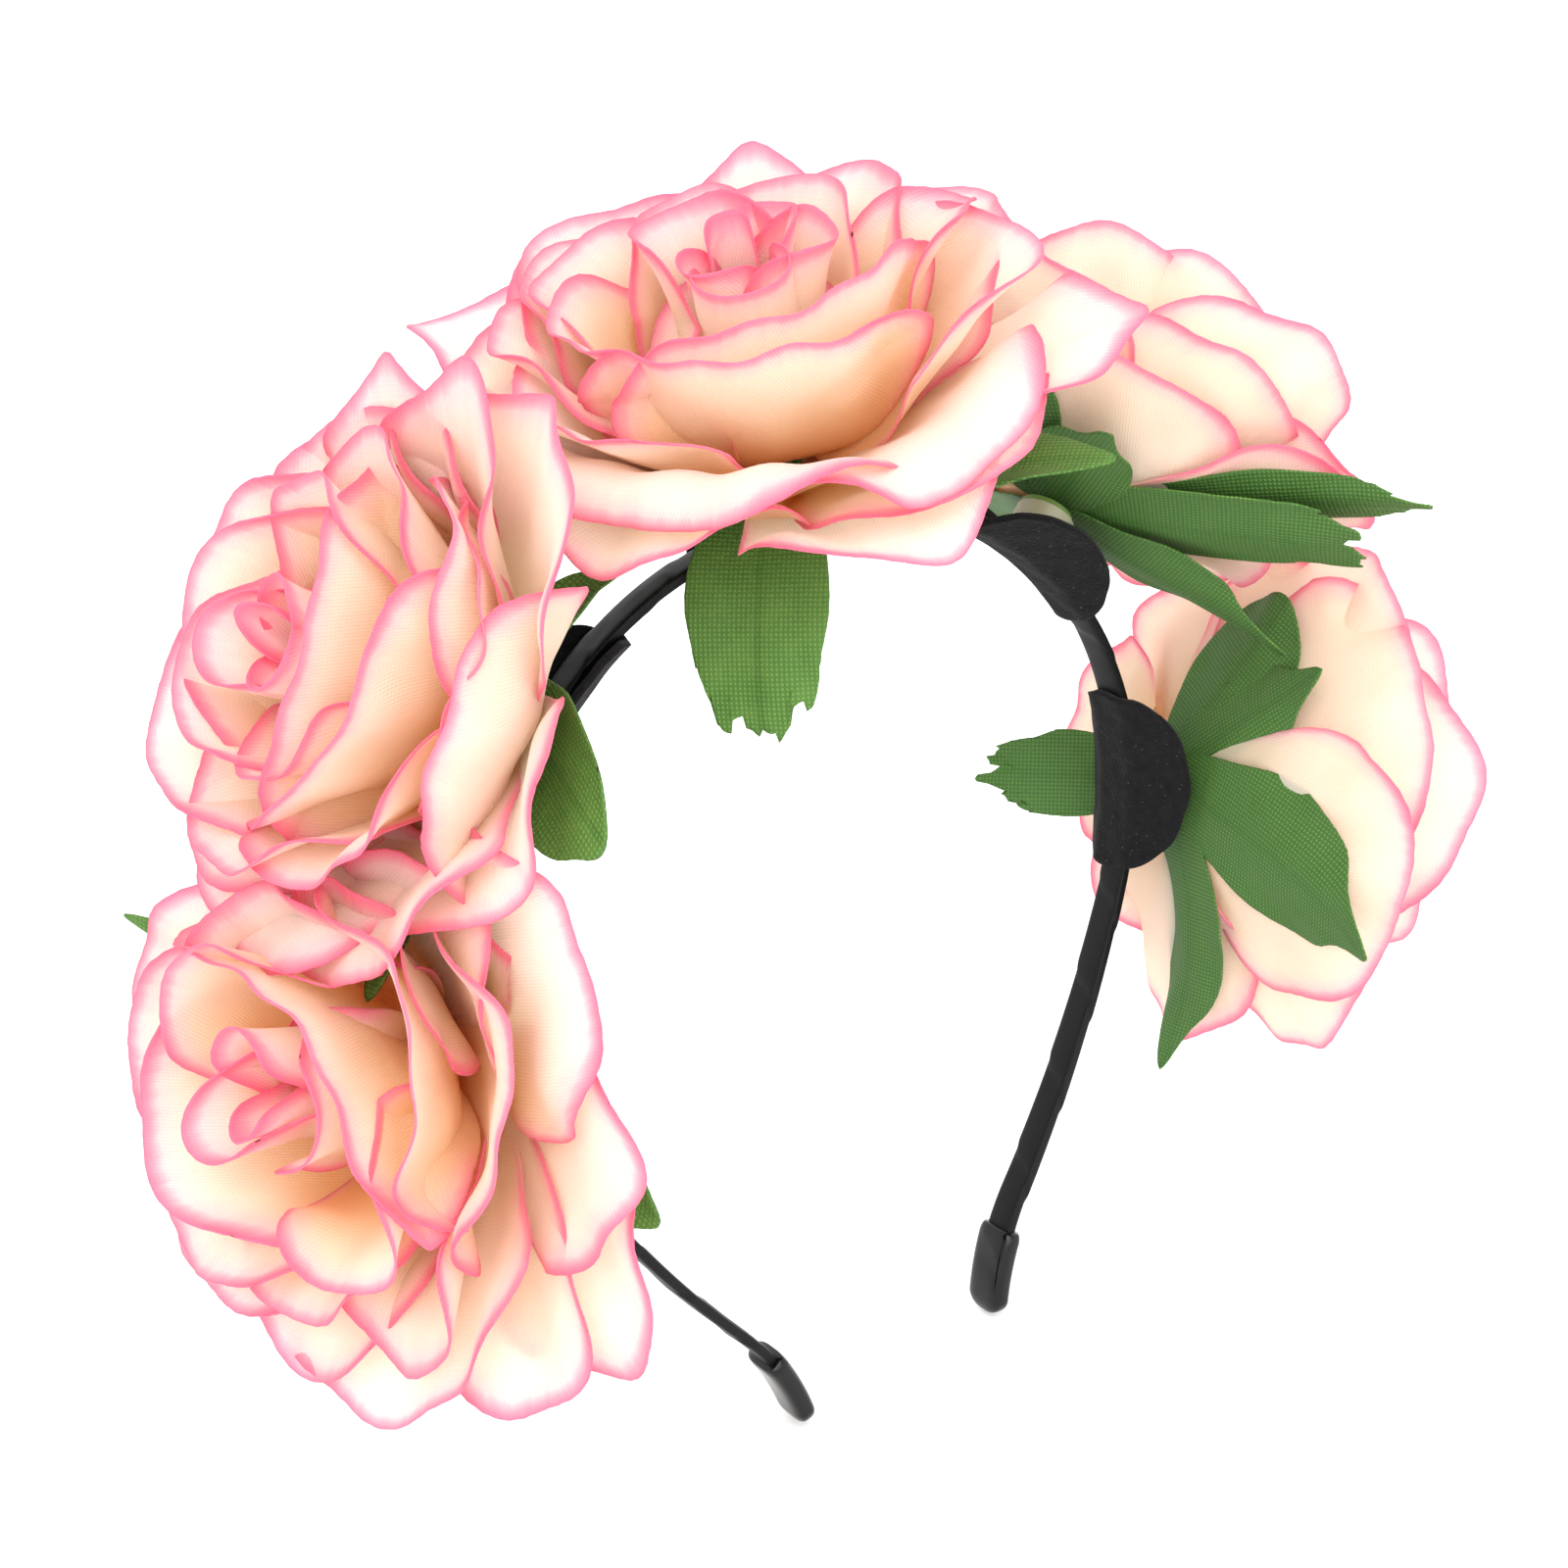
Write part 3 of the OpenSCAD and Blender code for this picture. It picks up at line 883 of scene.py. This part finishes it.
def rose_three() -> list[Blade]:
    """The rose at the crown, seen into its cup."""
    return [
        outer(274, 42, 35, 52, curl=110, roll=30, cup=18),
        outer(282, 44, 26, 46, curl=40),
        outer(312, 51, 31, 36, curl=20, point=5, cup=18),
        outer(259, 47, 23, 42, curl=35, roll=30, tone=0.4, warm=0.0),
        outer(212, 38, 37, 62, curl=130, curl_from=0.66, roll=30, cup=16, ruffle=1.0),
        outer(200, 42, 27, 46, curl=50, ruffle=2.0, warm=0.7),
        outer(160, 43, 30, 44, curl=60),
        outer(140, 45, 32, 44, curl=40),
        outer(120, 49, 33, 38, curl=20, point=5, cup=18),
        outer(92, 41, 38, 46, curl=30),
        outer(352, 42, 37, 42, curl=20, cup=24, roll=30),
        outer(20, 40, 34, 44, curl=30),
        outer(55, 39, 36, 44, curl=30),
        middle(97, 37, 39, 50, curl=20, cup=38, point=2),
        middle(112, 33, 41, 42, curl=30),
        middle(47, 31, 42, 32, point=4, curl=20),
        middle(15, 32, 43, 30, curl=40),
        middle(343, 32, 44, 28, curl=60, cup=50, roll=40),
        middle(322, 39, 40, 46, curl=15, cup=36, roll=30),
        middle(235, 27, 44, 58, curl=15, cup=44, roll=40, warm=0.7),
        middle(178, 35, 37, 46, curl=30),
        middle(142, 34, 40, 40, curl=40),
        inner(262, 21, 46, 62, cup=40, curl=20, warm=0.7),
        inner(20, 20, 45, 46, curl=15),
        inner(118, 27, 43, 40, curl=50, cup=44),
        inner(160, 24, 43, 42, curl=50, cup=50, warm=0.9),
        inner(75, 20, 45, 38),
        core(240, 14, 46, 44, curl=15, warm=0.2, tone=0.6, cup=110),
        core(320, 13, 46, 36, curl=30),
        core(95, 13, 47, 38, curl=50, cup=80),
        core(10, 9, 47, 28, curl=30),
        core(190, 7, 47, 26, curl=40),
        core(60, 4, 48, 18),
        leaf(218, 32, -19, 22, bow=-80, jag=5, point=0, waist=0.9, curl=0, cup=4),
        leaf(160, 40, 14, 18),
        leaf(300, 46, 14, 18),
        leaf(20, 36, 20, 18),
        leaf(85, 36, 20, 18),
    ]


def rose_four() -> list[Blade]:
    """The upper rose on the right, seen from behind."""
    return [
        outer(232, 34, 20, 48, lift=9, curl=10, cup=22, roll=12, ruffle=0.9, warm=0.0),
        outer(262, 38, 29, 48, bow=30, curl=10, cup=22, roll=12, ruffle=0.9, warm=0.0),
        outer(306, 43, 33, 38, curl=40, roll=30),
        outer(297, 49, 25, 30, lift=9, curl=20, cup=16, roll=20, ruffle=1.4),
        outer(330, 37, 20, 44, curl=30),
        outer(5, 40, 24),
        outer(40, 40, 26),
        outer(75, 40, 26),
        outer(110, 42, 28),
        outer(150, 42, 30, 44),
        outer(190, 40, 31, 44, curl=30),
        middle(270, 44, 37, 46, bow=25, curl=10, cup=22, roll=12, ruffle=0.9, warm=0.0),
        middle(246, 32, 43, 46, curl=10, roll=15, ruffle=0.9, warm=0.2),
        middle(213, 32, 42, 44, curl=20, roll=20, warm=0.3),
        middle(310, 34, 39, 40),
        *[middle(turn, 32, 39) for turn in (350, 40, 90, 140)],
        *closed_heart(),
        leaf(298, 53, 15, 22, jag=4, bow=5, sweep=-4, point=0, waist=0.95),
        leaf(289, 60, 23, 15, jag=4, bow=5, point=0, waist=0.95),
        leaf(233, 27, 9, 18),
        leaf(328, 38, 8, 16, point=12),
        leaf(190, 36, 16, 20),
        leaf(60, 36, 20, 18),
    ]


def rose_five() -> list[Blade]:
    """The lowest rose on the right, seen from behind."""
    return [
        outer(243, 47, 28, 60, curl=10, cup=22, roll=16, ruffle=2.0, warm=0.0),
        outer(285, 52, 22, 52, lift=9, curl=10, cup=22, roll=16, ruffle=1.8, warm=0.1),
        outer(320, 50, 28, 50, lift=10.5, curl=10, cup=22, roll=16, ruffle=2.2, warm=0.0),
        outer(2, 48, 21, 44, lift=9, curl=10, cup=22, roll=16, ruffle=1.8, warm=0.1),
        outer(208, 47, 31, 50, curl=20, warm=0.1),
        outer(45, 40, 22, 42),
        outer(90, 41, 15, 44, curl=40),
        outer(130, 40, 26, 44),
        outer(168, 40, 30, 44),
        middle(260, 42, 42, 54, curl=0, cup=30, roll=5, tone=0.9, warm=0.1),
        middle(226, 37, 43, 44, curl=10, cup=30, roll=5, tone=0.8),
        middle(300, 33, 44, 44, curl=10, cup=34, roll=5),
        middle(340, 34, 38, 46),
        *[middle(turn, 32, 38) for turn in (30, 80, 130, 170)],
        *closed_heart(),
        leaf(229, 32, 15, 19, cup=20),
        leaf(203, 37, 18, 24, point=0),
        leaf(279, 49, 15, 25, sweep=6, cup=25, ruffle=1.0),
        leaf(359, 46, 17, 18, sweep=-3, swing=-8, point=9),
        leaf(77, 23, -18, 16, bow=-80, jag=5, point=0, waist=0.95, curl=0, cup=4),
    ]


# ---------------------------------------------------------------- roses


@dataclass
class Rose:
    """One cloth rose on its seat: layers of petals round a rolled bud, over a calyx star.

    number: its place along the band. aim: the way it faces in the band's plane; nod: its tilt towards +Y.
    blades: its petals and lobes. seat_height: height of its seat over the band's middle line. sheet_fill: share of a
    layer's square sheet that its cut petals fill; not used.
    """

    number: int
    aim: float
    nod: float
    line: BandLine
    blades: list[Blade]
    seat_height: float = 0.93
    sheet_fill: float = 0.7

    def __post_init__(self) -> None:
        """Works out the seat's place and the rose's axes."""
        self.seat = self.line.off(self.line.seat(self.number), self.seat_height, 0.0)
        a, b = self.aim * DEG, self.nod * DEG
        up = np.array([math.cos(a) * math.cos(b), math.sin(b), math.sin(a) * math.cos(b)])
        side = np.array([math.sin(a), 0.0, -math.cos(a)])
        self.axes = np.stack([side, np.cross(up, side), up])
        chance = np.random.default_rng(7 * self.number)
        self.blades = [replace(b, phase=float(chance.uniform(0, 6.28))) for b in self.blades]

    def place(self, patch: Patch) -> Patch:
        """Moves a patch from the rose's own frame to its seat."""
        patch.points = patch.points @ self.axes + self.seat
        return patch

    def build(self, wardrobe: Wardrobe) -> None:
        """Makes and dresses each layer as one piece that stands for its node.

        Args:
            wardrobe: The finishes.
        """
        for layer in Layer:
            blades = [b for b in self.blades if b.layer is layer]
            node = f"{layer.value}_{self.number}"
            piece = make_piece(f"{node}_cloth", join_patches([self.place(b.surface()) for b in blades]))
            wardrobe.dress(piece, Slot.LEAF if layer is Layer.CALYX else Slot.PETAL)
            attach(piece, "crown")
            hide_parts(node)
            area = sum(b.area for b in blades)
            log.info("%s: %d blades, %.0f cm2 of cloth", piece.name, len(blades), area / 100)


# ---------------------------------------------------------------- band pieces


@dataclass
class Headband:
    """The wrapped strip, its caps and the felt discs.

    wrap_w and wrap_t: the wrapped strip's width and thickness. pitch: of the tape's turns; step: its overlap's height;
    tuck: how far the ribbon runs into a cap. joint_s and joint_reach: where an arm flexes, and half a stretch round
    it;
    the ends of that stretch are worked out but not used.
    felt_d: a disc's length along the band; felt_wing: its reach beyond the strip's edge; felt_fold: degrees that it
    folds back, over the length felt_bend; felt_play: its waviness and its play off the ribbon.
    """

    line: BandLine
    wrap_w: float = 5.46
    wrap_t: float = 1.86
    wrap_square: float = 0.42
    pitch: float = 17.0
    step: float = 0.3
    tuck: float = 4.0
    joint_s: float = 120.0
    joint_reach: float = 3.0
    cap_len: float = 16.0
    cap_w: float = 8.4
    cap_t: float = 4.4
    cap_square: float = 0.62
    around: int = 48
    felt_d: float = 34.0
    felt_t: float = 1.2
    felt_fold: float = 38.0
    felt_bend: float = 1.6
    felt_wing: float = 11.0
    felt_play: float = 0.12

    def oval(self, around: np.ndarray, w: np.ndarray, t: np.ndarray, square: float) -> tuple[np.ndarray, np.ndarray]:
        """A rounded oblong: cosine and sine each raised to a small power, as y and height."""
        c, s = np.cos(around), np.sin(around)
        return w / 2 * np.sign(c) * np.abs(c) ** square, t / 2 * np.sign(s) * np.abs(s) ** square

    def tube(self, s: np.ndarray, w: np.ndarray, t: np.ndarray, square: float) -> Patch:
        """Sweeps the rounded oblong along the band's line, closed at both ends.

        Args:
            s: Arc lengths of the rings.
            w: Width at each ring.
            t: Thickness at each ring.
            square: Power of the oblong; smaller is squarer.

        Returns:
            The closed tube.
        """
        count = self.around
        around = np.linspace(0, 2 * math.pi, count, endpoint=False)
        y, h = self.oval(around[None, :], w[:, None], t[:, None], square)
        centre = self.line.off(s[[0, -1]], 0.0, 0.0)
        points = np.concatenate([self.line.off(s[:, None], h, y).reshape(-1, 3), centre])
        n = len(s) * count
        quads = grid_quads(len(s), count, closed=True)
        # Each end is closed by quads that span two cells of the ring and meet at its middle.
        even = np.arange(0, count, 2)
        following = (even + 2) % count
        start = np.stack([np.full_like(even, n), following, even + 1, even], -1)
        last = n - count
        end = np.stack([np.full_like(even, n + 1), last + even, last + even + 1, last + following], -1)
        flat = np.stack(np.broadcast_arrays(s[:, None], around[None, :] * (self.wrap_w + self.wrap_t) / math.pi), -1)
        flat = np.concatenate([flat.reshape(-1, 2), np.zeros((2, 2))])
        print_ = np.tile([0.5, 0.5, 1.0, 0.5, 0.0], (len(points), 1))
        return Patch(points, np.concatenate([quads, start, end]), flat, print_)

    def ribbon(self, side: int, wardrobe: Wardrobe) -> None:
        """Wraps half the band in ribbon, from the crown to inside a cap.

        The tape's edge climbs as a saw tooth of arc length over pitch less the way round the strip.

        Args:
            side: -1 for the left half, 1 for the right.
            wardrobe: The finishes.
        """
        end = self.line.tip - self.cap_len + self.tuck
        s = np.linspace(0, end, int(end * 2)) * side
        w, t = np.full_like(s, self.wrap_w), np.full_like(s, self.wrap_t)
        patch = self.tube(s if side > 0 else s[::-1], w, t, self.wrap_square)
        n = len(s) * self.around
        flat = patch.flat[:n]
        phase = flat[:, 0] / self.pitch + flat[:, 1] / (2 * (self.wrap_w + self.wrap_t))
        saw = phase - np.floor(phase)
        lifted = self.step * np.minimum(saw, (1 - saw) * 12)
        x, z, a = self.line.at(flat[:, 0])
        middle = np.stack([x, np.zeros_like(x), z], -1)
        out = patch.points[:n] - middle
        out /= np.maximum(np.linalg.norm(out, axis=1, keepdims=True), 1e-6)
        patch.points[:n] += out * lifted[:, None]
        name = "right" if side > 0 else "left"
        arm = f"{name}_arm"
        piece = make_piece(f"ribbon_wrap_{name}", patch)
        wardrobe.dress(piece, Slot.RIBBON)
        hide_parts("ribbon_crown", f"ribbon_{arm}")
        ends = self.line.off(side * (self.joint_s + np.array([-self.joint_reach, self.joint_reach])), 0.0, 0.0)
        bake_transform(piece)

    def cap(self, side: int, wardrobe: Wardrobe) -> None:
        """A dipped cap: it swells over the ribbon and ends in a round nose.

        Args:
            side: -1 for the left tip, 1 for the right.
            wardrobe: The finishes.
        """
        v = np.linspace(0, 1, 60)
        reach = 1 - (1 - v) ** 1.6
        nose = np.sqrt(np.clip(1 - np.clip((reach - 0.8) / 0.2, 0, 1) ** 2, 0.0005, 1))
        lip = 0.86 + 0.14 * np.clip(v / 0.06, 0, 1) ** 0.5
        s = side * (self.line.tip - self.cap_len + reach * self.cap_len)
        w = self.cap_w * lip * nose
        t = self.cap_t * lip * nose**0.8 * (1 - 0.12 * reach)
        order = slice(None) if side > 0 else slice(None, None, -1)
        patch = self.tube(s[order], w[order], t[order], self.cap_square)
        name = "right" if side > 0 else "left"
        piece = make_piece(f"cap_{name}", patch)
        wardrobe.dress(piece, Slot.RUBBER)
        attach(piece, f"{name}_arm")
        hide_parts(f"end_cap_{name}")

    def felt(self, number: int, wardrobe: Wardrobe) -> None:
        """A felt disc laid inside the band and folded back round it.

        The disc's y runs along the band. Its x stays level up to the strip's edge, then turns by the fold.

        Args:
            number: The rose that it backs.
            wardrobe: The finishes.
        """
        dx, dy = disc_grid(np.linspace(-1, 1, 56) * EDGE_INSET)
        rough = 1 + 0.008 * np.sin(11 * np.arctan2(dy, dx) + number)
        half = self.wrap_w / 2 + self.felt_wing
        x, y = dx * half * rough, dy * self.felt_d / 2 * rough
        knee, soft = self.wrap_w / 2, self.felt_bend
        over = np.maximum(np.abs(x) - knee, 0)
        mean = self.felt_fold * DEG * np.where(over < soft, over / soft / 2, 1 - soft / 2 / np.maximum(over, soft))
        across = np.sign(x) * (np.abs(x) - over + over * np.cos(mean))
        rise = over * np.sin(mean) - self.felt_t / 2 - self.wrap_t / 2 - self.felt_play
        s = self.line.seat(number) + y
        p = self.line.off(s, rise + self.felt_play * np.sin(0.9 * x) * np.sin(0.7 * y), across)
        print_ = np.ones((*x.shape, 5))
        patch = cloth_shell(p, np.stack([x, y], -1), print_, self.felt_t)
        piece = make_piece(f"felt_disc_{number}", patch)
        wardrobe.dress(piece, Slot.FELT)
        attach(piece, "crown")
        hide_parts(f"felt_pad_{number}")

    def build(self, wardrobe: Wardrobe) -> None:
        """Makes the wrap, the caps and the felt discs."""
        for side in (-1, 1):
            self.ribbon(side, wardrobe)
            self.cap(side, wardrobe)
        for number in ROSES:
            self.felt(number, wardrobe)


# ---------------------------------------------------------------- studio


@dataclass(frozen=True)
class Studio:
    """A pale floor, soft lights and the camera.

    place: the camera's place in mm. azimuth, elevation, roll: the way it looks, in degrees. lens: in mm.
    key and fill: the lamps' strengths; sky: the white world's. floor_half: half the floor's side in metres;
    floor_drop: its distance below the lowest point, in metres.
    """

    place: tuple[float, float, float] = (-184.02, -275.09, 148.81)
    azimuth: float = -32.76
    elevation: float = 21.63
    roll: float = -7.76
    lens: float = 51.75
    key: float = 1.3
    fill: float = 2.3
    sky: float = 1.5
    floor_half: float = 30.0
    floor_drop: float = 0.0004

    def build(self) -> None:
        """Makes the camera, the floor and the lights."""
        scene = bpy.context.scene
        data = bpy.data.cameras.new("camera")
        data.lens = self.lens
        data.clip_start = 0.01
        data.clip_end = 100.0
        camera = bpy.data.objects.new("camera", data)
        scene.collection.objects.link(camera)
        a, e, r = self.azimuth * DEG, self.elevation * DEG, self.roll * DEG
        back = np.array([math.sin(a) * math.cos(e), -math.cos(a) * math.cos(e), math.sin(e)])
        right = np.array([math.cos(a), math.sin(a), 0.0])
        up = np.cross(back, right)
        right, up = math.cos(r) * right + math.sin(r) * up, math.cos(r) * up - math.sin(r) * right
        matrix = np.eye(4)
        matrix[:3, :3] = np.stack([right, up, back], 1)
        matrix[:3, 3] = np.array(self.place) * MM
        camera.matrix_world = Matrix(matrix.tolist())
        scene.camera = camera
        self.floor()
        self.sun("key", (-0.55, -0.6, 0.95), self.key, 50.0)
        self.sun("fill", (-0.35, -0.9, 0.3), self.fill, 70.0)
        world = bpy.data.worlds.new("studio")
        world.use_nodes = True
        background = world.node_tree.nodes["Background"]
        background.inputs[0].default_value = (1.0, 1.0, 1.0, 1.0)
        background.inputs[1].default_value = self.sky
        scene.world = world
        scene.view_settings.view_transform = "Standard"
        # Thin pale cloth passes light on many times inside the cups.
        scene.cycles.diffuse_bounces = 12
        scene.cycles.max_bounces = 20

    def floor(self) -> None:
        """Lays the pale floor just under the lowest point."""
        low = min(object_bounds()[0][2], cad_box[0][2]) - self.floor_drop
        corners = [(x * self.floor_half, y * self.floor_half, low) for x, y in ((-1, -1), (1, -1), (1, 1), (-1, 1))]
        mesh = bpy.data.meshes.new("floor")
        mesh.from_pydata(corners, [], [(0, 1, 2, 3)])
        floor = bpy.data.objects.new("floor", mesh)
        bpy.context.scene.collection.objects.link(floor)
        mesh.materials.append(Plain("pale floor", "F4F4F4", "F6F6F6", 0.9).build())
        floor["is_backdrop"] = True

    def sun(self, name: str, towards: tuple[float, float, float], strength: float, spread: float) -> None:
        """Adds a broad, even light from far away.

        Args:
            name: Its name.
            towards: The way to it from the crown.
            strength: In watts a square metre.
            spread: How wide it looks, in degrees.
        """
        data = bpy.data.lights.new(name, "SUN")
        data.energy = strength
        data.angle = spread * DEG
        lamp = bpy.data.objects.new(name, data)
        bpy.context.scene.collection.objects.link(lamp)
        z = np.array(towards) / np.linalg.norm(towards)
        x = np.cross([0, 0, 1], z)
        x /= np.linalg.norm(x)
        matrix = np.eye(4)
        matrix[:3, :3] = np.stack([x, np.cross(z, x), z], 1)
        lamp.matrix_world = Matrix(matrix.tolist())


def main() -> None:
    """Builds the crown piece by piece."""
    logging.basicConfig(level=logging.INFO, format="%(message)s")
    line = BandLine()
    wardrobe = Wardrobe()
    Headband(line).build(wardrobe)
    aims = (161, 148, 104, 40, 343)
    nods = (-17, -5, -14, 10, -12)
    arrangements = (rose_one, rose_two, rose_three, rose_four, rose_five)
    for number, aim, nod, arrange in zip(ROSES, aims, nods, arrangements):
        Rose(number, aim, nod, line, arrange()).build(wardrobe)
    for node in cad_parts:
        for prefix, slot in (("spring", Slot.STEEL), ("glue", Slot.GLUE), ("stem", Slot.STEM)):
            if node.startswith(prefix):
                wardrobe.redress_node(node, slot)
    Studio().build()


if __name__ == "__main__":
    main()
